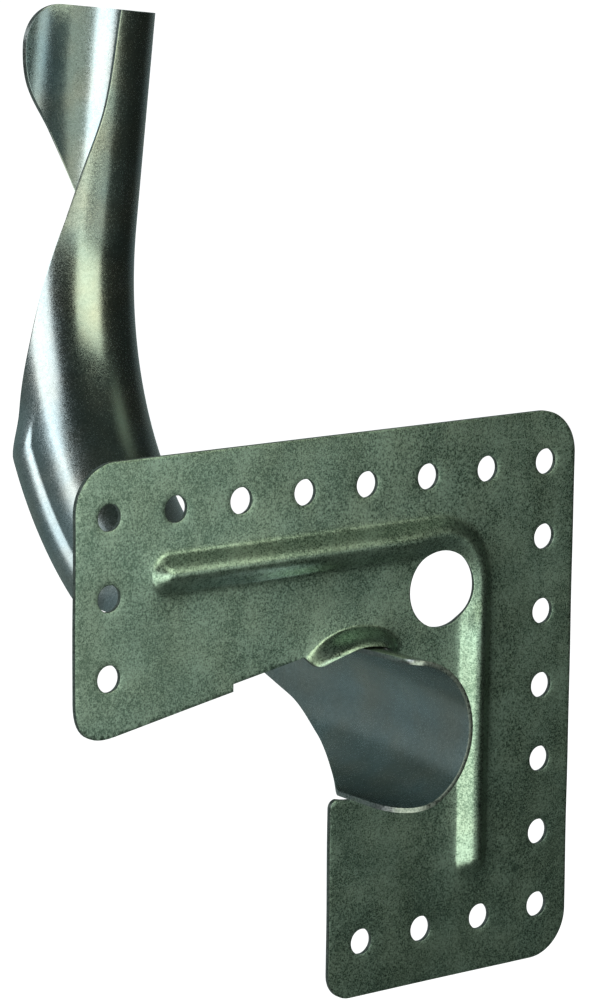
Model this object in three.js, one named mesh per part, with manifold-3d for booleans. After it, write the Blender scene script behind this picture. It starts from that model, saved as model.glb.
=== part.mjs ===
// Wall bracket for a pipe that leaves a wall: an L-shaped nailing plate of galvanised sheet, and an open trough of
// the same sheet that leads the pipe back into the wall and up through a long bend.
// Millimetres, +Z up, +X to the right, +Y into the wall. The plate's back face lies on the plane Y = 0.
import * as THREE from "three";
import { mergeVertices } from "three/addons/utils/BufferGeometryUtils.js";
import Module from "manifold-3d";

const wasm = await Module();
wasm.setup();

// Driving sizes. The nail holes' half-inch pitch sets the rest of the plate.
const PITCH = 12.7;
const SHEET = 0.8;
const GAP = 0.3;
const NAIL_HOLE_RADIUS = 2.25;
const TOP_HOLES = 8;
const RIGHT_HOLES = 6;
const LEFT_HOLES = 2;
const BOTTOM_HOLES = 3;
const BOTTOM_ROW = 6;

// Where the origin sits in the hole grid: on the flat strip between the rib and the right-hand nail holes,
// level with the pipe. Columns count to the right and rows count down from the top left nail hole.
const ORIGIN_COLUMN = 6.45;
const PIPE_COLUMN = 3.84;
const PIPE_ROW = 3.06;

// The sheet that stands past the outermost holes.
const SIDE_MARGIN = 6.35;
const TOP_MARGIN = 8.6;
const BOTTOM_MARGIN = 9.2;
const CORNER = 7.6;
const ARM_CORNER = 7.2;
const LEG_CORNER = 4.4;
const LEG_TIP_CORNER = 1.4;

// The cut-away quarter: the left arm's sloping lower edge with its small step, and the lower leg's inner edge.
const ARM_END_ROW = 2.83;
const ARM_SLOPE = 0.175;
const STEP_COLUMN = 1.9;
const STEP_HEIGHT = 1.25;
const LEG_COLUMN = 3.465;

// Raised rib.
const RIB_ROW = 0.795;
const RIB_COLUMN = 5.81;
const RIB_START_COLUMN = 0.885;
const RIB_END_ROW = 5.15;
const RIB_HALF_WIDTH = 3.1;
const RIB_CORNER = 0.68 * PITCH;
const RIB_HEIGHT = 2.2;
const RIB_CREST = 0.25;
const KNOCKOUT = { column: 5.24, row: 1.49, radius: 6.5 };

// Rib section: the bead's flat crest as a share of its width, and how far the sheet's thickness narrows the hollow.
const RIB_FLANK_STEPS = 5;
const RIB_WALL = 0.6;

// Trough: a half pipe for 22.2 mm tubing, with a stub in front of the plate, a straight lead behind it, a quarter
// bend and a straight riser.
const TROUGH_RADIUS = 12.7;
const OPENING_RADIUS = TROUGH_RADIUS + GAP;
const STUB = 14.7;
const LEAD = 20.6;
const BEND_RADIUS = 72.5;
const RISER = 37.8;
const ROLL = THREE.MathUtils.degToRad(6);
const BEND_LENGTH = (BEND_RADIUS * Math.PI) / 2;
const STUB_END = -(BEND_LENGTH / 2 + LEAD + STUB);
const RISER_END = BEND_LENGTH / 2 + RISER;
const TAB_CORNER = 8;
const STUB_CORNER = 2.5;

// Angles of the trough's two long edges round the pipe, against the distance from the middle of the bend. 0 is the
// inside of the bend, 90 the left side, 180 the outside of the bend and 270 the right side. The left edge is the
// same either way from the middle, the right edge reaches a little further round at the riser than at the stub.
const LEFT_EDGE = [
  [15, 100],
  [24, 82],
  [35, 63],
  [51, 43],
  [66, 25],
  [78, 10],
  [RISER_END, 4],
];
const RIGHT_EDGE = [
  [STUB_END, 184],
  [-76, 184],
  [-67, 206],
  [-56, 236],
  [-46, 257],
  [-20, 263],
  [20, 263],
  [46, 254],
  [56, 234],
  [72, 195],
  [80, 170],
  [86, 162],
  [RISER_END, 162],
];

// Rolled lip along both edges at the middle of the bend.
const LIP_HALF_LENGTH = 22;
const LIP_FADE = 8;
const LIP_BEAD = 1.0;
const LIP_GROOVE = 0.5;
const BEAD_ANGLE = 23;
const GROOVE_ANGLE = 34;
const BEAD_SPREAD = 8;

// Hood: the sheet drawn forward over the top of the pipe opening.
const HOOD_LEFT = 41;
const HOOD_RIGHT = -42;
const HOOD_HEIGHT = 1.3;
const HOOD_FOOT_RADIUS = 16.1;
const HOOD_RIM_RADIUS = 13.5;

const ARC_STEPS = 8;
const HOLE_STEPS = 20;
const TROUGH_COLUMNS = 22;
const ROW_LENGTH = 4.2;
const CUTTER_DEPTH = 10;
const CUTTER_SIZE = 250;

const acrossTo = (column) => (column - ORIGIN_COLUMN) * PITCH;
const upTo = (row) => (PIPE_ROW - row) * PITCH;
const PIPE_X = acrossTo(PIPE_COLUMN);

// A geometry as a solid for booleans. Only the positions matter.
function solidOf(geometry) {
  const bare = new THREE.BufferGeometry().setAttribute("position", geometry.getAttribute("position"));
  if (geometry.index) bare.setIndex(geometry.index);
  const merged = mergeVertices(bare, 1e-4);
  return new wasm.Manifold(
    new wasm.Mesh({
      numProp: 3,
      vertProperties: new Float32Array(merged.attributes.position.array),
      triVerts: new Uint32Array(merged.index.array),
    }),
  );
}

function geometryOf(solid) {
  const mesh = solid.getMesh();
  const geometry = new THREE.BufferGeometry();
  geometry.setAttribute("position", new THREE.BufferAttribute(mesh.vertProperties, 3));
  geometry.setIndex(new THREE.BufferAttribute(mesh.triVerts, 1));
  const faceted = geometry.toNonIndexed();
  faceted.computeVertexNormals();
  return faceted;
}

// A shape drawn on the plate, pushed forward from one distance in front of the back face to another.
function slab(shape, from, to, bevel = {}) {
  const geometry = new THREE.ExtrudeGeometry(shape, {
    depth: to - from,
    curveSegments: ARC_STEPS,
    bevelEnabled: false,
    ...bevel,
  });
  geometry.translate(0, 0, from);
  geometry.rotateX(Math.PI / 2);
  return solidOf(geometry);
}

function roundHole(column, row, radius, steps) {
  const geometry = new THREE.CylinderGeometry(radius, radius, CUTTER_DEPTH, steps);
  geometry.translate(acrossTo(column), 0, upTo(row));
  return solidOf(geometry);
}

// The L-shaped sheet, without holes, with the round opening for the pipe let into its inner corner.
function plateShape() {
  const left = acrossTo(0) - SIDE_MARGIN;
  const right = acrossTo(TOP_HOLES - 1) + SIDE_MARGIN;
  const top = upTo(0) + TOP_MARGIN;
  const bottom = upTo(BOTTOM_ROW) - BOTTOM_MARGIN;
  const legLeft = acrossTo(LEG_COLUMN);
  const armBottom = (x) => upTo(ARM_END_ROW) + (x - left) * ARM_SLOPE;
  const step = acrossTo(STEP_COLUMN);
  const hoodEnd = THREE.MathUtils.degToRad(90 + HOOD_LEFT);
  const legMeets = Math.acos((legLeft + LEG_TIP_CORNER - PIPE_X) / OPENING_RADIUS);
  const legTop = -OPENING_RADIUS * Math.sin(legMeets);

  const shape = new THREE.Shape();
  shape.moveTo(left, armBottom(left) + ARM_CORNER);
  shape.lineTo(left, top - CORNER);
  shape.absarc(left + CORNER, top - CORNER, CORNER, Math.PI, Math.PI / 2, true);
  shape.absarc(right - CORNER, top - CORNER, CORNER, Math.PI / 2, 0, true);
  shape.absarc(right - CORNER, bottom + CORNER, CORNER, 0, -Math.PI / 2, true);
  shape.absarc(legLeft + LEG_CORNER, bottom + LEG_CORNER, LEG_CORNER, -Math.PI / 2, -Math.PI, true);
  shape.lineTo(legLeft, legTop - LEG_TIP_CORNER);
  shape.quadraticCurveTo(legLeft, legTop, legLeft + LEG_TIP_CORNER, legTop);
  shape.absarc(PIPE_X, 0, OPENING_RADIUS, -legMeets, hoodEnd, false);
  shape.lineTo(PIPE_X + HOOD_FOOT_RADIUS * Math.cos(hoodEnd), HOOD_FOOT_RADIUS * Math.sin(hoodEnd));
  shape.lineTo(step, armBottom(step) + STEP_HEIGHT);
  shape.lineTo(step, armBottom(step));
  shape.lineTo(left + ARM_CORNER, armBottom(left + ARM_CORNER));
  shape.quadraticCurveTo(left, armBottom(left), left, armBottom(left) + ARM_CORNER);
  return shape;
}

// The rib's outline, drawn round its centre line at the given half width.
function ribShape(halfWidth) {
  const y = upTo(RIB_ROW);
  const x = acrossTo(RIB_COLUMN);
  const start = acrossTo(RIB_START_COLUMN);
  const end = upTo(RIB_END_ROW);
  const turnX = x - RIB_CORNER;
  const turnY = y - RIB_CORNER;
  const shape = new THREE.Shape();
  shape.absarc(start, y, halfWidth, Math.PI / 2, (3 * Math.PI) / 2, false);
  shape.absarc(turnX, turnY, RIB_CORNER - halfWidth, Math.PI / 2, 0, true);
  shape.absarc(x, end, halfWidth, Math.PI, 2 * Math.PI, false);
  shape.absarc(turnX, turnY, RIB_CORNER + halfWidth, 0, Math.PI / 2, false);
  return shape;
}

// The rib as a solid with rounded flanks, standing on the plane at the given distance in front of the back face.
function ribSolid(base, halfWidth) {
  const crest = halfWidth * RIB_CREST;
  return slab(ribShape(crest), base - SHEET, base, {
    bevelEnabled: true,
    bevelThickness: RIB_HEIGHT,
    bevelSize: halfWidth - crest,
    bevelSegments: RIB_FLANK_STEPS,
  });
}

// Half space behind a plane, as a thick block wider than the plate.
function blockBehind(distance) {
  const geometry = new THREE.BoxGeometry(CUTTER_SIZE, CUTTER_SIZE, CUTTER_SIZE);
  geometry.translate(0, CUTTER_SIZE / 2 - distance, 0);
  return solidOf(geometry);
}

// The drawn sheet of the hood in section: radius from the pipe against distance in front of the back face. Both
// faces leave the plate level and turn forward to the rim.
function hoodSection() {
  const tip = SHEET + HOOD_HEIGHT;
  const faceOf = (base, rim) => {
    const reach = HOOD_FOOT_RADIUS - rim;
    const points = [];
    for (let i = 0; i <= ARC_STEPS; i++) {
      const turn = ((i / ARC_STEPS) * Math.PI) / 2;
      points.push(
        new THREE.Vector2(HOOD_FOOT_RADIUS - reach * Math.sin(turn), base + (tip - base) * (1 - Math.cos(turn))),
      );
    }
    return points;
  };
  const back = faceOf(0, HOOD_RIM_RADIUS);
  const front = faceOf(SHEET, HOOD_RIM_RADIUS + SHEET);
  const root = HOOD_FOOT_RADIUS + SHEET;
  return [new THREE.Vector2(root, 0), ...back, ...front.reverse(), new THREE.Vector2(root, SHEET)];
}

// A ring sector swept from a closed section about the pipe's axis, capped at both ends.
function sweepAboutPipe(outline, fromDegrees, toDegrees, steps) {
  const section = THREE.ShapeUtils.isClockWise(outline) ? outline.slice().reverse() : outline;
  const cap = THREE.ShapeUtils.triangulateShape(section, []);
  const positions = [];
  const triangles = [];
  const count = section.length;
  for (let i = 0; i <= steps; i++) {
    const angle = THREE.MathUtils.degToRad(fromDegrees + ((toDegrees - fromDegrees) * i) / steps);
    for (const point of section)
      positions.push(PIPE_X - point.x * Math.sin(angle), -point.y, point.x * Math.cos(angle));
  }
  for (let i = 0; i < steps; i++)
    for (let j = 0; j < count; j++) {
      const a = i * count + j;
      const b = i * count + ((j + 1) % count);
      triangles.push(a, b, b + count, a, b + count, a + count);
    }
  for (const [a, b, c] of cap) {
    const last = steps * count;
    triangles.push(c, b, a, last + a, last + b, last + c);
  }
  return outwardSolid(positions, triangles);
}

// A closed triangle mesh as a solid, turned right side out whichever way it was wound.
function outwardSolid(positions, triangles) {
  const geometry = new THREE.BufferGeometry();
  geometry.setAttribute("position", new THREE.Float32BufferAttribute(positions, 3));
  const volume = signedVolume(positions, triangles);
  const wound = volume > 0 ? triangles : triangles.slice().reverse();
  geometry.setIndex(wound);
  return solidOf(geometry);
}

function signedVolume(positions, triangles) {
  const corner = (i) => new THREE.Vector3().fromArray(positions, 3 * i);
  let volume = 0;
  for (let i = 0; i < triangles.length; i += 3) {
    const [a, b, c] = [corner(triangles[i]), corner(triangles[i + 1]), corner(triangles[i + 2])];
    volume += a.dot(b.cross(c)) / 6;
  }
  return volume;
}

function nailHoles() {
  const places = [];
  for (let i = 0; i < TOP_HOLES; i++) places.push([i, 0]);
  for (let i = 1; i <= RIGHT_HOLES; i++) places.push([TOP_HOLES - 1, i]);
  for (let i = 1; i <= LEFT_HOLES; i++) places.push([0, i]);
  for (let i = 1; i <= BOTTOM_HOLES; i++) places.push([TOP_HOLES - 1 - i, BOTTOM_ROW]);
  return places.map(([column, row]) => roundHole(column, row, NAIL_HOLE_RADIUS, HOLE_STEPS));
}

// The room in front of the plate's back face that the hood's own sheet replaces.
function hoodRoom() {
  const section = [
    new THREE.Vector2(SHEET, -SHEET),
    new THREE.Vector2(HOOD_FOOT_RADIUS, -SHEET),
    new THREE.Vector2(HOOD_FOOT_RADIUS, 2 * SHEET),
    new THREE.Vector2(SHEET, 2 * SHEET),
  ];
  return sweepAboutPipe(section, HOOD_RIGHT, HOOD_LEFT, 2 * ARC_STEPS);
}

function mountingPlate() {
  const hood = sweepAboutPipe(hoodSection(), HOOD_RIGHT, HOOD_LEFT, 2 * ARC_STEPS);
  const ribFront = ribSolid(SHEET, RIB_HALF_WIDTH).subtract(blockBehind(SHEET / 2));
  const ribHollow = ribSolid(0, RIB_HALF_WIDTH - RIB_WALL);
  let plate = slab(plateShape(), 0, SHEET).subtract(hoodRoom()).add(hood);
  plate = plate.add(ribFront).subtract(ribHollow);
  plate = plate.subtract(roundHole(KNOCKOUT.column, KNOCKOUT.row, KNOCKOUT.radius, 2 * HOLE_STEPS));
  for (const hole of nailHoles()) plate = plate.subtract(hole);
  return plate;
}

// A smooth curve through stations of [distance, value], level beyond both ends.
function throughStations(stations, distance) {
  const last = stations.length - 1;
  if (distance <= stations[0][0]) return stations[0][1];
  if (distance >= stations[last][0]) return stations[last][1];
  const i = stations.findIndex(([d]) => d > distance) - 1;
  const slopeBetween = (a, b) => (stations[b][1] - stations[a][1]) / (stations[b][0] - stations[a][0]);
  const slopeAt = (k) => slopeBetween(Math.max(k - 1, 0), Math.min(k + 1, last));
  const width = stations[i + 1][0] - stations[i][0];
  const t = (distance - stations[i][0]) / width;
  const [from, to] = [stations[i][1], stations[i + 1][1]];
  return (
    from * (1 + 2 * t) * (1 - t) ** 2 +
    to * t * t * (3 - 2 * t) +
    width * slopeAt(i) * t * (1 - t) ** 2 +
    width * slopeAt(i + 1) * t * t * (t - 1)
  );
}

// Rows along the trough, measured from the middle of the bend and closer together at the rounded tab corners.
function troughRows() {
  const rows = [];
  const cornerRow = (i) => TAB_CORNER * (1 - Math.cos(((i / ARC_STEPS) * Math.PI) / 2));
  const first = STUB_END + TAB_CORNER;
  const last = RISER_END - TAB_CORNER;
  const count = Math.round((last - first) / ROW_LENGTH);
  for (let i = 0; i < ARC_STEPS; i++) rows.push(STUB_END + cornerRow(i));
  for (let i = 0; i <= count; i++) rows.push(first + ((last - first) * i) / count);
  for (let i = ARC_STEPS - 1; i >= 0; i--) rows.push(RISER_END - cornerRow(i));
  return rows;
}

// How many degrees a rounded corner takes off a long edge, near an end of the trough.
function cornerDegrees(fromEnd, radius) {
  const inside = Math.max(radius - fromEnd, 0);
  return THREE.MathUtils.radToDeg((radius - Math.sqrt(radius ** 2 - inside ** 2)) / TROUGH_RADIUS);
}

// The angles of the two long edges at a place along the trough.
function troughSpan(along) {
  const fromStub = along - STUB_END;
  const fromEnd = Math.min(fromStub, RISER_END - along);
  const right = throughStations(RIGHT_EDGE, along) + cornerDegrees(fromEnd, TAB_CORNER);
  const left = throughStations(LEFT_EDGE, Math.abs(along)) - cornerDegrees(fromStub, STUB_CORNER);
  return [right, 360 + left];
}

// Point on the trough at a place along the pipe's path, an angle round it and a distance from it. The bend lies in
// a plane rolled a little to the right about the stub.
function troughPoint(along, degrees, radius) {
  const turn = THREE.MathUtils.clamp((along + BEND_LENGTH / 2) / BEND_RADIUS, 0, Math.PI / 2);
  const before = Math.min(along + BEND_LENGTH / 2, 0);
  const beyond = Math.max(along - BEND_LENGTH / 2, 0);
  const angle = THREE.MathUtils.degToRad(degrees);
  const inward = radius * Math.cos(angle);
  const leftward = radius * Math.sin(angle);
  const back = LEAD - SHEET + before + (BEND_RADIUS - inward) * Math.sin(turn);
  const rise = beyond + BEND_RADIUS - (BEND_RADIUS - inward) * Math.cos(turn);
  return [
    PIPE_X + rise * Math.sin(ROLL) - leftward * Math.cos(ROLL),
    back,
    rise * Math.cos(ROLL) + leftward * Math.sin(ROLL),
  ];
}

// How far the rolled lip pushes the sheet out, at an angle counted from the free edge.
function lipOffset(along, fromEdge) {
  const fade = THREE.MathUtils.smoothstep(LIP_HALF_LENGTH - Math.abs(along), 0, LIP_FADE);
  const bump = (centre) => Math.exp(-(((fromEdge - centre) / BEAD_SPREAD) ** 2));
  return fade * (LIP_BEAD * bump(BEAD_ANGLE) - LIP_GROOVE * bump(GROOVE_ANGLE));
}

// Where a column of points stands between the two long edges: 0 to 1, closer together near the edges.
function columnShare(column) {
  const even = column / TROUGH_COLUMNS;
  const eased = (1 - Math.cos(Math.PI * even)) / 2;
  return (even + eased) / 2;
}

function bendTrough() {
  const rows = troughRows();
  const positions = [];
  const triangles = [];
  const lane = TROUGH_COLUMNS + 1;
  for (const along of rows) {
    const [right, left] = troughSpan(along);
    for (const depth of [0, SHEET])
      for (let j = 0; j < lane; j++) {
        const degrees = THREE.MathUtils.lerp(right, left, columnShare(j));
        const fromEdge = Math.min(degrees - right, left - degrees);
        positions.push(...troughPoint(along, degrees, TROUGH_RADIUS - depth + lipOffset(along, fromEdge)));
      }
  }
  const at = (row, side, column) => (row * 2 + side) * lane + column;
  const quad = (a, b, c, d) => triangles.push(a, b, c, a, c, d);
  for (let i = 0; i + 1 < rows.length; i++) {
    for (let j = 0; j < TROUGH_COLUMNS; j++) {
      quad(at(i, 0, j), at(i + 1, 0, j), at(i + 1, 0, j + 1), at(i, 0, j + 1));
      quad(at(i, 1, j), at(i, 1, j + 1), at(i + 1, 1, j + 1), at(i + 1, 1, j));
    }
    quad(at(i, 0, 0), at(i, 1, 0), at(i + 1, 1, 0), at(i + 1, 0, 0));
    quad(
      at(i, 0, TROUGH_COLUMNS),
      at(i + 1, 0, TROUGH_COLUMNS),
      at(i + 1, 1, TROUGH_COLUMNS),
      at(i, 1, TROUGH_COLUMNS),
    );
  }
  const end = rows.length - 1;
  for (let j = 0; j < TROUGH_COLUMNS; j++) {
    quad(at(0, 0, j), at(0, 0, j + 1), at(0, 1, j + 1), at(0, 1, j));
    quad(at(end, 0, j), at(end, 1, j), at(end, 1, j + 1), at(end, 0, j + 1));
  }
  return outwardSolid(positions, triangles);
}

function piece(name, solid, colour, roughness) {
  const material = new THREE.MeshStandardMaterial({ color: colour, roughness, metalness: 0.9 });
  const mesh = new THREE.Mesh(geometryOf(solid), material);
  mesh.name = name;
  return mesh;
}

const bracket = new THREE.Group();
bracket.name = "pipe_wall_bracket";
bracket.add(piece("mounting_plate", mountingPlate(), 0x6f7f70, 0.55));
bracket.add(piece("bend_trough", bendTrough(), 0x85908c, 0.35));

export default bracket;
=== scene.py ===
"""Looks for the pipe wall bracket: a stamped, galvanised L-shaped plate, and the open trough for the pipe.

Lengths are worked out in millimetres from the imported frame, and turned into metres when a mesh is made.
Columns of nail holes count to the right and rows count down, both from the top left nail hole.
"""
import math

import bpy
import numpy as np
from mathutils import Matrix, Vector
from mathutils.geometry import delaunay_2d_cdt


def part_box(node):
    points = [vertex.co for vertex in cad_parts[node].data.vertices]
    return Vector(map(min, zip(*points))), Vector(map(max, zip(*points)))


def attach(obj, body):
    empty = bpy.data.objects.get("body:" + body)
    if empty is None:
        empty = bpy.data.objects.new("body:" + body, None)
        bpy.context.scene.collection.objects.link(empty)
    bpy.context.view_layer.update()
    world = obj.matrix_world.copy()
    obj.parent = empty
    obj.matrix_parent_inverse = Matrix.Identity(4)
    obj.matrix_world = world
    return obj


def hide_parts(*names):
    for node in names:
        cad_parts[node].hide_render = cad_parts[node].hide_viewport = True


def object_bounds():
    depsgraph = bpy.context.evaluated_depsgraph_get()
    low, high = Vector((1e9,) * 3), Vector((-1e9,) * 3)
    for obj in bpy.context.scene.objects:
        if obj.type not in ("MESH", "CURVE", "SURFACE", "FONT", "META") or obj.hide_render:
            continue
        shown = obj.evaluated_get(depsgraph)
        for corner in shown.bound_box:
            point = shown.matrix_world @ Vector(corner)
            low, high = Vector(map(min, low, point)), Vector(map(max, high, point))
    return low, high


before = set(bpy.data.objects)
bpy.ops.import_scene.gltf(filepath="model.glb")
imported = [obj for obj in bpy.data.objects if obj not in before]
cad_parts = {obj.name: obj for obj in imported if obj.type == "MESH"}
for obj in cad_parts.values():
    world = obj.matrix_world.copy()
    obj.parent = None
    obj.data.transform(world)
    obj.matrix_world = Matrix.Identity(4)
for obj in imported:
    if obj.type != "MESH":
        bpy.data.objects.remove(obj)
cad_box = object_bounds()

MM = 0.001
plate_low, plate_high = (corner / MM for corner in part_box("mounting_plate"))
trough_low, trough_high = (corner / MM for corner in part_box("bend_trough"))

# Plate, from its box. The sheet stands half a hole pitch past the first and last columns.
HOLES_ACROSS = 8
RIGHT_HOLES = 6
LEFT_HOLES = 2
BOTTOM_HOLES = 3
BOTTOM_ROW = 6
PITCH = (plate_high.x - plate_low.x) / HOLES_ACROSS
SHEET = 0.063 * PITCH
NAIL_HOLE_RADIUS = 0.172 * PITCH
FIRST_COLUMN_X = plate_low.x + PITCH / 2
TOP_ROW_Z = plate_high.z - 0.677 * PITCH
CORNER = 0.6 * PITCH
ARM_CORNER = 0.567 * PITCH
LEG_CORNER = 0.346 * PITCH
LEG_TIP_CORNER = 0.11 * PITCH
ARM_END_ROW = 2.83
ARM_SLOPE = 0.175
STEP_COLUMN = 1.9
STEP_HEIGHT = 0.098 * PITCH
LEG_COLUMN = 3.465
KNOCKOUT_COLUMN = 5.24
KNOCKOUT_ROW = 1.49
KNOCKOUT_RADIUS = 0.512 * PITCH

# Rib: flat flanks, a rounded crown and small fillets at its feet.
RIB_ROW = 0.795
RIB_COLUMN = 5.81
RIB_START_COLUMN = 0.885
RIB_END_ROW = 5.15
RIB_CORNER = 0.68 * PITCH
RIB_HALF_WIDTH = 0.236 * PITCH
RIB_HEIGHT = 0.135 * PITCH
RIB_CROWN = 0.09 * PITCH
RIB_FILLET = 0.022 * PITCH

# The sheet is drawn up a little round the rib and the hood, dished at each nail hole, and slightly wavy.
# The knockout takes a share of the rib's height away beside it.
DRAW_HEIGHT = 0.2
DRAW_REACH = 2.2
DISH_DEPTH = 0.05
DISH_REACH = 0.45
KNOCKOUT_DRAG = 0.5
DRAG_REACH = 2.4
WAVE_HEIGHT = 0.02
WAVE_COUNT = 7
WAVE_LENGTHS = (18, 45)

# Trough, from its box.
PIPE_COLUMN = 3.84
TROUGH_RADIUS = -trough_low.z
OPENING_GAP = 0.3
OPENING_RADIUS = TROUGH_RADIUS + OPENING_GAP
ROLL = math.radians(6)
LEAD = 1.622 * PITCH
STUB = -trough_low.y - SHEET
BEND_RADIUS = trough_high.y - LEAD + SHEET - TROUGH_RADIUS
BEND_LENGTH = BEND_RADIUS * math.pi / 2
MOUTH_EDGE = math.radians(4)
MOUTH_TOP = trough_high.z - TROUGH_RADIUS * math.sin(MOUTH_EDGE) * math.sin(ROLL)
RISER = MOUTH_TOP / math.cos(ROLL) - BEND_RADIUS
STUB_END = -(BEND_LENGTH / 2 + LEAD + STUB)
RISER_END = BEND_LENGTH / 2 + RISER
TAB_CORNER = 0.63 * PITCH
STUB_CORNER = 0.2 * PITCH

# Stations of the trough's long edges: distance from the middle of the bend, and angle round the pipe. Angle 0
# is the inside of the bend, 90 the left side, 180 the outside and 270 the right side.
LEFT_EDGE = [(15, 100), (24, 82), (35, 63), (51, 43), (66, 25), (78, 10), (RISER_END, 4)]
RIGHT_EDGE = [
    (STUB_END, 177),
    (-75.5, 179),
    (-74.5, 181),
    (-67, 205),
    (-56, 237),
    (-46, 257),
    (-20, 263),
    (20, 263),
    (46, 254),
    (56, 234),
    (72, 195),
    (80, 170),
    (86, 162),
    (RISER_END, 162),
]

# Flared lip along both edges at the middle of the bend. Its foot is in degrees from the cut edge.
LIP_HALF_LENGTH = 22
LIP_FADE = 8
LIP_HEIGHT = 1.3
LIP_FOOT = 19
LIP_SOFTNESS = 0.003

# Hood over the pipe opening. Its ends, and the stretches over which it fades and turns back, are in degrees
# from straight up, positive to the left. It loses a share of its height at its left end.
HOOD_LEFT = 41
HOOD_RIGHT = -42
HOOD_HEIGHT = 3.3
HOOD_FOOT_RADIUS = 15.9
HOOD_RIM_RADIUS = 12.85
HOOD_FADE = 26
HOOD_LEFT_DROP = 0.55
HOOD_LEFT_REACH = 2
HOOD_TURN = 10
HOOD_TURN_WIDTH = 1.8

EDGE_ROUNDING = 0.13

# Fineness of the meshes. Lanes along the rib are shares of its half width.
LANES = np.arange(-1.45, 1.451, 0.1)
LANE_SPACING = 0.9
CAP_SPACING = 0.6
HOOD_LANE = 0.3
HOOD_MARGIN = 3
HOOD_MARGIN_DEGREES = 14
GRID_SPACING = 1.1
RING_SPACING = 0.5
HOLE_SPACING = 0.42
NAIL_RINGS = (0.22, 0.5, 0.9)
KNOCKOUT_RINGS = np.arange(0.2, 1.7, 0.25)
TROUGH_COLUMNS = 84
CORNER_ROWS = 18

# Loose points of the plate's mesh keep at least this far from rings and edges.
LANE_CLEARANCE = 0.3
GRID_CLEARANCE = 0.5
HOLE_CLEARANCE = 0.1
OUTLINE_CLEARANCE = 0.28

FLOOR_HALF_WIDTH = 6.0
FLOOR_DROP = 0.25

SEED = 7


def column_x(column):
    return FIRST_COLUMN_X + column * PITCH


def row_z(row):
    return TOP_ROW_Z - row * PITCH


PIPE_X = column_x(PIPE_COLUMN)


def smoothstep(value, low, high):
    """0 up to low, 1 from high on, and a smooth rise between them."""
    t = np.clip((value - low) / (high - low), 0, 1)
    return t * t * (3 - 2 * t)


def arc(centre, radius, start, end, spacing=0.5):
    """Points on an arc, angles in degrees, about one for every spacing millimetres."""
    count = max(3, math.ceil(radius * abs(math.radians(end - start)) / spacing))
    angles = np.radians(np.linspace(start, end, count + 1))
    return np.c_[centre[0] + radius * np.cos(angles), centre[1] + radius * np.sin(angles)]


def dense(points, spacing=0.6):
    """The closed outline through the points, with more points put in on its long sides."""
    out = []
    for a, b in zip(points, np.roll(points, -1, axis=0)):
        steps = max(1, math.ceil(np.linalg.norm(b - a) / spacing))
        out.extend(a + (b - a) * i / steps for i in range(steps))
    return np.array(out)


def plate_outline():
    """The plate's edge, clockwise from its top left corner, with the hood still flat."""
    left, right = plate_low.x, plate_high.x
    bottom, top = plate_low.z, plate_high.z
    leg = column_x(LEG_COLUMN)
    step = column_x(STEP_COLUMN)

    def arm(x):
        return row_z(ARM_END_ROW) + (x - left) * ARM_SLOPE

    leg_meets = math.degrees(math.acos((leg + LEG_TIP_CORNER - PIPE_X) / OPENING_RADIUS))
    leg_top = -OPENING_RADIUS * math.sin(math.radians(leg_meets))
    hood_end = np.array([math.cos(math.radians(90 + HOOD_LEFT)), math.sin(math.radians(90 + HOOD_LEFT))])
    rim_end = 90 + HOOD_LEFT - HOOD_TURN
    rim_turn = arc((PIPE_X, 0), HOOD_RIM_RADIUS, rim_end, rim_end)[0]
    rim_corner = (PIPE_X, 0) + HOOD_RIM_RADIUS * hood_end
    toe = LEG_TIP_CORNER
    pieces = [
        arc((left + CORNER, top - CORNER), CORNER, 180, 90),
        arc((right - CORNER, top - CORNER), CORNER, 90, 0),
        arc((right - CORNER, bottom + CORNER), CORNER, 0, -90),
        arc((leg + LEG_CORNER, bottom + LEG_CORNER), LEG_CORNER, -90, -180),
        arc((leg + toe, leg_top - toe), toe, 180, 90),
        arc((PIPE_X, 0), OPENING_RADIUS, -leg_meets, 90 + HOOD_RIGHT),
        arc((PIPE_X, 0), HOOD_RIM_RADIUS, 90 + HOOD_RIGHT, rim_end),
        curve(rim_turn, rim_corner, rim_corner + HOOD_TURN_WIDTH * hood_end),
        [(PIPE_X, 0) + HOOD_FOOT_RADIUS * hood_end],
        [(step, arm(step) + STEP_HEIGHT), (step, arm(step))],
        curve((left + ARM_CORNER, arm(left + ARM_CORNER)), (left, arm(left)), (left, arm(left) + ARM_CORNER)),
    ]
    return dense(np.vstack([np.array(piece) for piece in pieces]))


def curve(start, middle, end):
    """A quadratic curve that leaves start towards middle and reaches end from it."""
    t = np.linspace(0, 1, 14)[:, None]
    return np.array(start) * (1 - t) ** 2 + 2 * np.array(middle) * t * (1 - t) + np.array(end) * t * t


def holes():
    """Centre and radius of every hole in the plate."""
    last = HOLES_ACROSS - 1
    places = [(i, 0) for i in range(HOLES_ACROSS)]
    places += [(last, i) for i in range(1, RIGHT_HOLES + 1)]
    places += [(0, i) for i in range(1, LEFT_HOLES + 1)]
    places += [(last - i, BOTTOM_ROW) for i in range(1, BOTTOM_HOLES + 1)]
    nails = [((column_x(c), row_z(r)), NAIL_HOLE_RADIUS) for c, r in places]
    return nails + [((column_x(KNOCKOUT_COLUMN), row_z(KNOCKOUT_ROW)), KNOCKOUT_RADIUS)]


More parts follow.
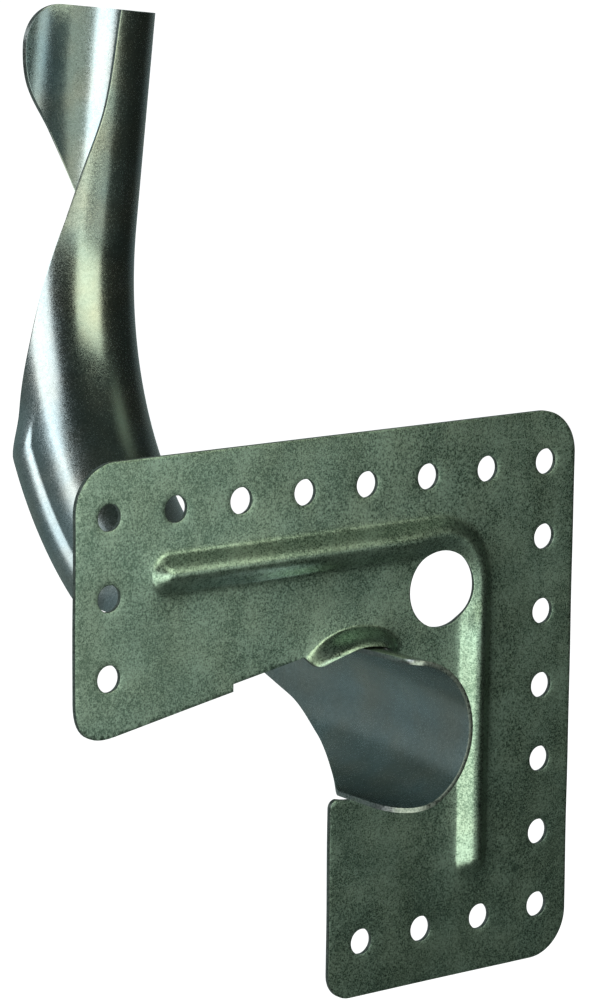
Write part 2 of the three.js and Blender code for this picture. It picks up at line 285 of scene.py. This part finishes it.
def rib_distance(points):
    """Distance of each point from the rib's centre line."""
    x, z = points[:, 0], points[:, 1]
    line_x, line_z = column_x(RIB_COLUMN), row_z(RIB_ROW)
    start, end = column_x(RIB_START_COLUMN), row_z(RIB_END_ROW)
    turn = (line_x - RIB_CORNER, line_z - RIB_CORNER)
    across = np.hypot(np.clip(x, start, turn[0]) - x, z - line_z)
    down = np.hypot(x - line_x, np.clip(z, end, turn[1]) - z)
    round_corner = np.where(
        (x > turn[0]) & (z > turn[1]), abs(np.hypot(x - turn[0], z - turn[1]) - RIB_CORNER), np.inf
    )
    return np.minimum(np.minimum(across, down), round_corner)


def rib_height(points):
    """A bead with flat flanks and a rounded crown, joined to the plate by a fillet."""
    d = rib_distance(points)
    foot = math.hypot(RIB_HALF_WIDTH, RIB_CROWN)
    bead = RIB_HEIGHT * (foot - np.hypot(d, RIB_CROWN)) / (foot - RIB_CROWN)
    bead = (bead + np.sqrt(bead**2 + RIB_FILLET**2)) / 2
    drawn = DRAW_HEIGHT * np.exp(-np.maximum(d - RIB_HALF_WIDTH, 0) / DRAW_REACH)
    return bead * smoothstep(-d, -2 * RIB_HALF_WIDTH, -RIB_HALF_WIDTH) + drawn


def rib_points():
    """Points in lanes along the rib, so that its flanks come out smooth."""
    start, turn_x = column_x(RIB_START_COLUMN), column_x(RIB_COLUMN) - RIB_CORNER
    end, turn_z = row_z(RIB_END_ROW), row_z(RIB_ROW) - RIB_CORNER
    lanes = []
    for offset in LANES * RIB_HALF_WIDTH:
        level = row_z(RIB_ROW) + offset
        upright = column_x(RIB_COLUMN) + offset
        xs = np.arange(start, turn_x, LANE_SPACING)
        zs = np.arange(end, turn_z, LANE_SPACING)
        lanes.append(np.c_[xs, np.full(len(xs), level)])
        lanes.append(arc((turn_x, turn_z), RIB_CORNER + offset, 90, 0, LANE_SPACING))
        lanes.append(np.c_[np.full(len(zs), upright), zs])
        if offset > 0:
            lanes.append(arc((start, row_z(RIB_ROW)), offset, 93, 267, CAP_SPACING))
            lanes.append(arc((column_x(RIB_COLUMN), end), offset, 183, 357, CAP_SPACING))
    return np.vstack(lanes)


def hood_points():
    """Points in lanes round the hood."""
    start = 90 + HOOD_RIGHT - HOOD_MARGIN_DEGREES
    radii = np.arange(OPENING_RADIUS, HOOD_FOOT_RADIUS + HOOD_MARGIN, HOOD_LANE)
    return np.vstack([arc((PIPE_X, 0), radius, start, 90 + HOOD_LEFT, RING_SPACING) for radius in radii])


def inside(points, outline):
    """Which points are inside a closed outline, by counting crossings."""
    x, z = points[:, 0], points[:, 1]
    result = np.zeros(len(points), bool)
    for (x0, z0), (x1, z1) in zip(outline, np.roll(outline, -1, axis=0)):
        if z0 != z1:
            crosses = (z0 > z) != (z1 > z)
            result ^= crosses & (x < (x1 - x0) * (z - z0) / (z1 - z0) + x0)
    return result


def distance_to(points, targets):
    """Distance of each point from the nearest target."""
    return np.array([np.sqrt(((targets - p) ** 2).sum(1).min()) for p in points])


def hood_angle(points):
    """Angle round the pipe, 0 straight up and positive to the left."""
    return np.degrees(np.arctan2(PIPE_X - points[:, 0], points[:, 1]))


def sheet_noise(points):
    """Slow waves in the stamped sheet, a few hundredths of a millimetre high."""
    rng = np.random.default_rng(SEED)
    total = np.zeros(len(points))
    for _ in range(WAVE_COUNT):
        direction = rng.normal(size=2)
        direction /= np.linalg.norm(direction)
        length = rng.uniform(*WAVE_LENGTHS)
        total += np.sin(points @ direction * math.tau / length + rng.uniform(0, math.tau))
    return WAVE_HEIGHT * total


def plate_surface(points):
    """Where flat points of the sheet's middle end up: across, forward and up."""
    flat_radius = np.hypot(points[:, 0] - PIPE_X, points[:, 1])
    angle = hood_angle(points)
    share = smoothstep(angle, HOOD_RIGHT, HOOD_RIGHT + HOOD_FADE) * (angle < HOOD_LEFT + HOOD_LEFT_REACH)
    share = share * (1 - HOOD_LEFT_DROP * smoothstep(angle, HOOD_LEFT - HOOD_FADE, HOOD_LEFT))
    forward = HOOD_HEIGHT * smoothstep(-flat_radius, -HOOD_FOOT_RADIUS, -HOOD_RIM_RADIUS) * share
    forward += sheet_noise(points)
    forward += DRAW_HEIGHT * np.exp(-np.maximum(flat_radius - HOOD_FOOT_RADIUS, 0) / DRAW_REACH) * share
    rib = rib_height(points)
    for centre, hole_radius in holes():
        from_rim = np.hypot(points[:, 0] - centre[0], points[:, 1] - centre[1]) - hole_radius
        if hole_radius > NAIL_HOLE_RADIUS:
            rib *= 1 - KNOCKOUT_DRAG * np.exp(-((from_rim / DRAG_REACH) ** 2))
        else:
            forward -= DISH_DEPTH * np.exp(-((from_rim / DISH_REACH) ** 2))
    return np.c_[points[:, 0], -SHEET / 2 - forward - rib, points[:, 1]]


def grid_points():
    """Staggered rows of points over the plate, away from the rib and the hood."""
    xs = np.arange(plate_low.x, plate_high.x, GRID_SPACING)
    zs = np.arange(plate_low.z, plate_high.z, GRID_SPACING)
    grid = np.array([(x + (GRID_SPACING / 2 if i % 2 else 0), z) for i, z in enumerate(zs) for x in xs])
    far_from_pipe = np.hypot(grid[:, 0] - PIPE_X, grid[:, 1]) > HOOD_FOOT_RADIUS + HOOD_MARGIN
    in_hood_arc = (hood_angle(grid) > HOOD_RIGHT - HOOD_MARGIN_DEGREES) & (hood_angle(grid) < HOOD_LEFT)
    return grid[(rib_distance(grid) > 1.5 * RIB_HALF_WIDTH) & (far_from_pipe | ~in_hood_arc)]


def plate_mesh():
    """Points and faces of the middle of the plate's sheet, with every hole cut."""
    outline = plate_outline()
    loops = [outline]
    around = []
    for centre, radius in holes():
        loops.append(arc(centre, radius, 0, 360, HOLE_SPACING)[:-1])
        for grow in NAIL_RINGS if radius == NAIL_HOLE_RADIUS else KNOCKOUT_RINGS:
            around.append(arc(centre, radius + grow, 0, 360, RING_SPACING)[:-1])
    rib, hood, grid = rib_points(), hood_points(), grid_points()
    rings = np.vstack(around)
    rib = rib[distance_to(rib, rings) > LANE_CLEARANCE]
    grid = grid[distance_to(grid, rings) > GRID_CLEARANCE]
    inner = np.vstack([rib, hood, grid, rings])
    keep = inside(inner, outline)
    for centre, radius in holes():
        keep &= np.hypot(inner[:, 0] - centre[0], inner[:, 1] - centre[1]) > radius + HOLE_CLEARANCE
    inner = inner[keep]
    inner = inner[distance_to(inner, outline) > OUTLINE_CLEARANCE]

    edges = []
    start = 0
    for loop in loops:
        count = len(loop)
        edges += [(start + i, start + (i + 1) % count) for i in range(count)]
        start += count
    everything = np.vstack(loops + [inner])
    flat, _, faces, *_ = delaunay_2d_cdt([Vector(p) for p in everything], edges, [], 0, 1e-5)
    flat = np.array([tuple(p) for p in flat])
    faces = np.array(faces)
    middles = flat[faces].mean(1)
    wanted = inside(middles, outline)
    for hole in loops[1:]:
        wanted &= ~inside(middles, hole)
    return plate_surface(flat), faces[wanted]


def through_stations(stations, distance):
    """A smooth curve through stations of (distance, value), level beyond both ends."""
    at, value = np.array(stations, float).T
    last = len(at) - 1
    if distance <= at[0]:
        return value[0]
    if distance >= at[last]:
        return value[last]
    i = int(np.searchsorted(at, distance, side="right")) - 1

    def slope(k):
        a, b = max(k - 1, 0), min(k + 1, last)
        return (value[b] - value[a]) / (at[b] - at[a])

    width = at[i + 1] - at[i]
    t = (distance - at[i]) / width
    level = value[i] * (1 + 2 * t) * (1 - t) ** 2 + value[i + 1] * t * t * (3 - 2 * t)
    return level + width * (slope(i) * t * (1 - t) ** 2 + slope(i + 1) * t * t * (t - 1))


def corner_degrees(from_end, radius):
    """How many degrees a rounded corner takes off a long edge, near an end of the trough."""
    past = max(radius - from_end, 0)
    return math.degrees((radius - math.sqrt(radius**2 - past**2)) / TROUGH_RADIUS)


def trough_span(along):
    """Angles of the right and the left edge at a place along the trough."""
    from_stub = along - STUB_END
    from_end = min(from_stub, RISER_END - along)
    right = through_stations(RIGHT_EDGE, along) + corner_degrees(from_end, TAB_CORNER)
    left = through_stations(LEFT_EDGE, abs(along)) - corner_degrees(from_stub, STUB_CORNER)
    return right, 360 + left


def trough_point(along, degrees, radius):
    """Points at one place along the pipe, at angles round it and distances from its axis."""
    turn = min(max((along + BEND_LENGTH / 2) / BEND_RADIUS, 0), math.pi / 2)
    before = min(along + BEND_LENGTH / 2, 0)
    beyond = max(along - BEND_LENGTH / 2, 0)
    angle = np.radians(degrees)
    inward = radius * np.cos(angle)
    leftward = radius * np.sin(angle)
    back = LEAD - SHEET + before + (BEND_RADIUS - inward) * math.sin(turn)
    rise = beyond + BEND_RADIUS - (BEND_RADIUS - inward) * math.cos(turn)
    x = PIPE_X + rise * math.sin(ROLL) - leftward * math.cos(ROLL)
    z = rise * math.cos(ROLL) + leftward * math.sin(ROLL)
    return np.c_[x, back, z]


def lip_offset(along, from_edge):
    """How far the lip flares out: most at the cut edge, down to nothing at its foot."""
    fade = smoothstep(LIP_HALF_LENGTH - abs(along), 0, LIP_FADE)
    flare = 1 - (from_edge / LIP_FOOT) ** 2
    return fade * LIP_HEIGHT * (flare + np.sqrt(flare**2 + LIP_SOFTNESS)) / 2


def trough_rows():
    """Places of the rows of points along the trough, close together where its corners are round."""
    ease = 1 - np.cos(np.linspace(0, math.pi / 2, CORNER_ROWS + 1))
    near = STUB_END + TAB_CORNER * ease
    far = RISER_END - TAB_CORNER * ease[::-1]
    count = round((far[0] - near[-1]) / LANE_SPACING)
    return np.concatenate([near[:-1], np.linspace(near[-1], far[0], count + 1), far[1:]])


def trough_mesh():
    """Points and faces of the sheet, and the faces along its cut edges."""
    rows = trough_rows()
    points = []
    share = np.linspace(0, 1, TROUGH_COLUMNS + 1)
    share = (share + (1 - np.cos(math.pi * share)) / 2) / 2
    for along in rows:
        right, left = trough_span(along)
        degrees = right + (left - right) * share
        from_edge = np.minimum(degrees - right, left - degrees)
        outer = TROUGH_RADIUS + lip_offset(along, from_edge)
        points.append(trough_point(along, degrees, outer))
        points.append(trough_point(along, degrees, outer - SHEET))
    lane = TROUGH_COLUMNS + 1

    def at(row, side, column):
        return (row * 2 + side) * lane + column

    skin, rim = [], []
    for i in range(len(rows) - 1):
        for j in range(TROUGH_COLUMNS):
            skin.append((at(i, 0, j), at(i + 1, 0, j), at(i + 1, 0, j + 1), at(i, 0, j + 1)))
            skin.append((at(i, 1, j), at(i, 1, j + 1), at(i + 1, 1, j + 1), at(i + 1, 1, j)))
        rim.append((at(i, 0, 0), at(i, 1, 0), at(i + 1, 1, 0), at(i + 1, 0, 0)))
        j = TROUGH_COLUMNS
        rim.append((at(i, 0, j), at(i + 1, 0, j), at(i + 1, 1, j), at(i, 1, j)))
    end = len(rows) - 1
    for j in range(TROUGH_COLUMNS):
        rim.append((at(0, 0, j), at(0, 0, j + 1), at(0, 1, j + 1), at(0, 1, j)))
        rim.append((at(end, 0, j), at(end, 1, j), at(end, 1, j + 1), at(end, 0, j + 1)))
    return np.vstack(points), skin, rim


def mesh_object(name, points, faces):
    """A smooth shaded object from points in millimetres."""
    mesh = bpy.data.meshes.new(name)
    mesh.from_pydata((points * MM).tolist(), [], [tuple(int(i) for i in face) for face in faces])
    mesh.update()
    obj = bpy.data.objects.new(name, mesh)
    bpy.context.scene.collection.objects.link(obj)
    mesh.shade_smooth()
    return obj


def modifier(obj, kind, name, **settings):
    made = obj.modifiers.new(name, kind)
    for key, value in settings.items():
        setattr(made, key, value)
    return made


def finish_piece(obj, node):
    """Rounds the cut edges, then keeps the result as a plain mesh that stands for the CAD node."""
    bevel = modifier(obj, "BEVEL", "cut_edge", width=EDGE_ROUNDING * MM, segments=2)
    bevel.limit_method = "ANGLE"
    bevel.angle_limit = math.radians(55)
    modifier(obj, "WEIGHTED_NORMAL", "flat_faces", keep_sharp=True)
    bpy.context.view_layer.objects.active = obj
    for made in list(obj.modifiers):
        bpy.ops.object.modifier_apply(modifier=made.name)
    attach(obj, "root")
    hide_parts(node)


class Nodes:
    """A material's node tree, with one call for a node and its links. Input i0 is a node's first socket."""

    def __init__(self, tree):
        self.tree = tree

    def add(self, kind, settings=None, **inputs):
        node = self.tree.nodes.new(kind)
        for key, value in (settings or {}).items():
            setattr(node, key, value)
        for key, value in inputs.items():
            numbered = key[0] == "i" and key[1:].isdigit()
            self.put(node.inputs[int(key[1:]) if numbered else key.replace("_", " ")], value)
        return node

    def put(self, socket, value):
        if isinstance(value, bpy.types.NodeSocket):
            self.tree.links.new(value, socket)
        else:
            socket.default_value = value

    def noise(self, where, size, detail=2.0, roughness=0.5):
        """Noise with features of about the given size in metres, 0 to 1."""
        node = self.add("ShaderNodeTexNoise", Vector=where, Scale=1 / size)
        self.put(node.inputs["Detail"], detail)
        self.put(node.inputs["Roughness"], roughness)
        return node.outputs["Fac"]

    def math(self, operation, a, b=0.0):
        return self.add("ShaderNodeMath", {"operation": operation}, i0=a, i1=b).outputs[0]

    def ramp(self, value, low, high, to_low=0.0, to_high=1.0):
        node = self.add("ShaderNodeMapRange", Value=value)
        node.inputs["From Min"].default_value = low
        node.inputs["From Max"].default_value = high
        node.inputs["To Min"].default_value = to_low
        node.inputs["To Max"].default_value = to_high
        return node.outputs[0]

    def mix(self, factor, a, b, blend="MIX"):
        node = self.add("ShaderNodeMix", {"data_type": "RGBA", "blend_type": blend})
        self.put(node.inputs[0], factor)
        self.put(node.inputs[6], a)
        self.put(node.inputs[7], b)
        return node.outputs[2]


def new_material(name):
    made = bpy.data.materials.new(name)
    made.use_nodes = True
    made.node_tree.nodes.clear()
    return made, Nodes(made.node_tree)


def zinc(name, dark, light, roughness, grain, spread, scratches, tarnish):
    """Galvanised steel: spangle crystals, fine speckle, slow stains, warm and cool tarnish, scratches."""
    made, n = new_material(name)
    where = n.add("ShaderNodeTexCoord").outputs["Object"]
    crystals = n.add("ShaderNodeTexVoronoi", Vector=where, Scale=1 / (1.6 * grain)).outputs["Color"]
    crystal = n.add("ShaderNodeSeparateColor", Color=crystals).outputs[0]
    speckle = n.noise(where, grain, 2.0, 0.7)
    stain = n.noise(where, 30 * grain, 4.0, 0.55)
    tone = n.math("ADD", n.math("MULTIPLY", crystal, 0.16), speckle)
    tone = n.math("ADD", tone, n.math("MULTIPLY", stain, 0.4))
    tone = n.ramp(tone, 0.78 - spread, 0.78 + spread)
    patch = n.ramp(n.noise(where, 9 * MM, 3.0, 0.5), 0.36, 0.64)
    patch = n.mix(patch, (1.0, 0.93, 0.84, 1), (0.82, 0.95, 1.0, 1))
    colour = n.mix(tarnish, n.mix(tone, dark, light), patch, "MULTIPLY")

    stretched = n.add("ShaderNodeMapping", Vector=where)
    stretched.inputs["Scale"].default_value = (1.0, 1.0, 0.06)
    stretched.inputs["Rotation"].default_value = (0.5, 0.9, 0.3)
    scratch = n.noise(stretched.outputs[0], 0.9 * grain, 1.0)
    scratch = n.ramp(scratch, 0.70, 0.76)
    colour = n.mix(n.math("MULTIPLY", scratch, scratches), colour, (0.75, 0.8, 0.76, 1))

    rough = n.ramp(speckle, 0.3, 0.7, roughness - 0.1, roughness + 0.04)
    rough = n.math("ADD", rough, n.math("MULTIPLY", stain, 0.12))
    height = n.math("ADD", n.math("MULTIPLY", speckle, 0.7), n.math("MULTIPLY", crystal, 0.3))
    height = n.math("SUBTRACT", height, n.math("MULTIPLY", scratch, 0.3))
    bump = n.add("ShaderNodeBump", Height=height, Strength=0.5, Distance=0.012 * MM)
    shader = n.add(
        "ShaderNodeBsdfPrincipled", Base_Color=colour, Metallic=1.0, Roughness=rough, Normal=bump.outputs[0]
    )
    n.add("ShaderNodeOutputMaterial", Surface=shader.outputs[0])
    return made


def cut_steel(name, dark, light):
    """The sheared edge of the sheet: darker, streaked steel with a little rust bloom."""
    made, n = new_material(name)
    where = n.add("ShaderNodeTexCoord").outputs["Object"]
    streak = n.noise(where, 0.4 * MM, 3.0, 0.7)
    bloom = n.noise(where, 7 * MM, 3.0, 0.6)
    colour = n.mix(n.ramp(streak, 0.35, 0.65), dark, light)
    colour = n.mix(n.ramp(bloom, 0.6, 0.75, 0, 0.5), colour, (0.20, 0.15, 0.11, 1))
    bump = n.add("ShaderNodeBump", Height=streak, Strength=0.6, Distance=0.05 * MM)
    rough = n.ramp(streak, 0.3, 0.7, 0.24, 0.4)
    shader = n.add(
        "ShaderNodeBsdfPrincipled", Base_Color=colour, Metallic=1.0, Roughness=rough, Normal=bump.outputs[0]
    )
    n.add("ShaderNodeOutputMaterial", Surface=shader.outputs[0])
    return made


def plate_zinc():
    """The plate's dull, greenish, even zinc."""
    dark, light = (0.19, 0.275, 0.225, 1), (0.59, 0.745, 0.65, 1)
    look = {"roughness": 0.29, "grain": 0.25 * MM, "spread": 0.13, "scratches": 0.1, "tarnish": 0.2}
    return zinc("plate_zinc", dark, light, **look)


def trough_zinc():
    """The trough's brighter, bluer, more tarnished zinc."""
    dark, light = (0.35, 0.40, 0.39, 1), (0.62, 0.68, 0.67, 1)
    look = {"roughness": 0.20, "grain": 0.26 * MM, "spread": 0.27, "scratches": 0.2, "tarnish": 0.6}
    return zinc("trough_zinc", dark, light, **look)


def make_plate():
    points, faces = plate_mesh()
    plate = mesh_object("plate_sheet", points, faces)
    plate.data.materials.append(plate_zinc())
    plate.data.materials.append(cut_steel("plate_cut_edge", (0.13, 0.16, 0.14, 1), (0.38, 0.42, 0.38, 1)))
    modifier(plate, "SOLIDIFY", "thickness", thickness=SHEET * MM, offset=0, material_offset_rim=1)
    finish_piece(plate, "mounting_plate")
    return plate


def make_trough():
    points, skin, rim = trough_mesh()
    trough = mesh_object("trough_sheet", points, skin + rim)
    trough.data.materials.append(trough_zinc())
    trough.data.materials.append(cut_steel("trough_cut_edge", (0.20, 0.23, 0.22, 1), (0.52, 0.56, 0.54, 1)))
    for polygon in trough.data.polygons[len(skin) :]:
        polygon.material_index = 1
    finish_piece(trough, "bend_trough")
    return trough


def towards(azimuth, elevation):
    """Unit vector, azimuth 0 straight out into the room and positive to the right."""
    a, e = math.radians(azimuth), math.radians(elevation)
    return Vector((math.sin(a) * math.cos(e), -math.cos(a) * math.cos(e), math.sin(e)))


def softbox(name, azimuth, elevation, distance, wide, high, radiance, colour):
    """A rectangular soft light, wide and high in degrees as seen from the middle of the bracket."""
    light = bpy.data.lights.new(name, "AREA")
    light.shape = "RECTANGLE"
    light.size = 2 * distance * math.tan(math.radians(wide / 2))
    light.size_y = 2 * distance * math.tan(math.radians(high / 2))
    light.energy = radiance * math.pi * light.size * light.size_y
    light.color = colour
    obj = bpy.data.objects.new(name, light)
    bpy.context.scene.collection.objects.link(obj)
    obj.visible_camera = False
    direction = towards(azimuth, elevation)
    obj.location = MIDDLE + direction * distance
    obj.rotation_euler = direction.to_track_quat("Z", "Y").to_euler()
    return obj


# Soft lights: azimuth and elevation, distance in metres, width and height in degrees, radiance and colour.
SOFTBOXES = {
    "cool_softbox": (-79, 17, 0.7, 36, 40, 2.35, (0.95, 0.97, 1.0)),
    "warm_softbox": (10, 19, 0.55, 42, 27, 1.8, (0.96, 1.0, 0.74)),
    "low_front": (2, -8, 0.5, 60, 16, 0.9, (0.9, 1.0, 0.86)),
}

# Soft panels of the room, in degrees: the middle's azimuth and elevation, half the width and half the height,
# and the soft border. The last value is the panel's colour.
PANELS = [
    (-40, -18, 36, 18, 12, (1.45, 1.55, 1.26)),
    (-112, 18, 22, 12, 14, (0.07, 0.09, 0.10)),
    (-106, 38, 12, 12, 10, (1.9, 1.98, 2.05)),
    (40, -20, 22, 10, 12, (0.035, 0.045, 0.037)),
    (56, 40, 10, 8, 12, (0.22, 0.26, 0.18)),
    (175, 5, 60, 45, 40, (0.17, 0.21, 0.21)),
    (0, -60, 190, 28, 24, (0.05, 0.06, 0.05)),
]


def surroundings():
    """A dim room with soft panels, behind a plain white view."""
    world = bpy.data.worlds.new("studio")
    bpy.context.scene.world = world
    world.use_nodes = True
    world.node_tree.nodes.clear()
    n = Nodes(world.node_tree)
    direction = n.add("ShaderNodeTexCoord").outputs["Generated"]
    x, y, z = n.add("ShaderNodeSeparateXYZ", Vector=direction).outputs
    azimuth = n.math("ARCTAN2", x, n.math("MULTIPLY", y, -1.0))
    elevation = n.math("ARCSINE", z)

    def within(angle, middle, half, border):
        """1 inside a range of angles in degrees, falling to 0 over its soft border."""
        away = n.math("WRAP", n.math("SUBTRACT", angle, math.radians(middle)), math.pi)
        away.node.inputs[2].default_value = -math.pi
        low, high = math.radians(half + border / 2), math.radians(half - border / 2)
        return n.ramp(n.math("ABSOLUTE", away), low, high)

    room = n.mix(n.ramp(z, 0.4, 0.95), (0.018, 0.022, 0.018, 1), (0.036, 0.046, 0.038, 1))
    for middle, height, half_wide, half_high, border, colour in PANELS:
        across = within(azimuth, middle, half_wide, border)
        upward = within(elevation, height, half_high, border)
        room = n.mix(n.math("MULTIPLY", across, upward), room, (*colour, 1), "ADD")
    lit = n.add("ShaderNodeBackground", Color=room, Strength=1.0)
    seen = n.add("ShaderNodeBackground", Color=(1, 1, 1, 1), Strength=1.0)
    camera_ray = n.add("ShaderNodeLightPath").outputs["Is Camera Ray"]
    chosen = n.add("ShaderNodeMixShader", i0=camera_ray, i1=lit.outputs[0], i2=seen.outputs[0])
    n.add("ShaderNodeOutputWorld", Surface=chosen.outputs[0])


def floor():
    """A plain pale floor well below the bracket, which is held up by its wall."""
    size = FLOOR_HALF_WIDTH
    height = cad_box[0][2] - FLOOR_DROP
    points = np.array([(-size, -size), (size, -size), (size, size), (-size, size)]) / MM
    obj = mesh_object("floor", np.c_[points, np.full(4, height / MM)], [(0, 1, 2, 3)])
    made, n = new_material("pale_floor")
    where = n.add("ShaderNodeTexCoord").outputs["Object"]
    paper = n.mix(n.noise(where, 0.4), (0.93, 0.93, 0.93, 1), (0.96, 0.96, 0.96, 1))
    shader = n.add("ShaderNodeBsdfPrincipled", Base_Color=paper, Roughness=0.9)
    n.put(shader.inputs["Emission Color"], (1, 1, 1, 1))
    n.put(shader.inputs["Emission Strength"], 1.0)
    n.add("ShaderNodeOutputMaterial", Surface=shader.outputs[0])
    obj.data.materials.append(made)
    obj.visible_glossy = False
    obj.visible_diffuse = False


CAMERA_LENS = 149.9
CAMERA_PLACE = (-0.44563, -0.51263, 0.15780)
CAMERA_RIGHT = (0.78904, -0.61425, 0.01064)
CAMERA_FORWARD = (0.60560, 0.77478, -0.18158)


def photo_camera():
    """The photograph's place and direction."""
    camera = bpy.data.cameras.new("camera")
    camera.lens = CAMERA_LENS
    camera.sensor_width = 36
    camera.clip_start = 0.01
    obj = bpy.data.objects.new("camera", camera)
    bpy.context.scene.collection.objects.link(obj)
    right = Vector(CAMERA_RIGHT).normalized()
    forward = Vector(CAMERA_FORWARD).normalized()
    up = right.cross(forward).normalized()
    turn = Matrix((right, up, -forward)).transposed()
    obj.matrix_world = Matrix.Translation(Vector(CAMERA_PLACE)) @ turn.to_4x4()
    bpy.context.scene.camera = obj


MIDDLE = (Vector(cad_box[0]) + Vector(cad_box[1])) / 2
make_plate()
make_trough()
floor()
surroundings()
for softbox_name, values in SOFTBOXES.items():
    softbox(softbox_name, *values)
photo_camera()
bpy.context.scene.view_settings.view_transform = "Standard"
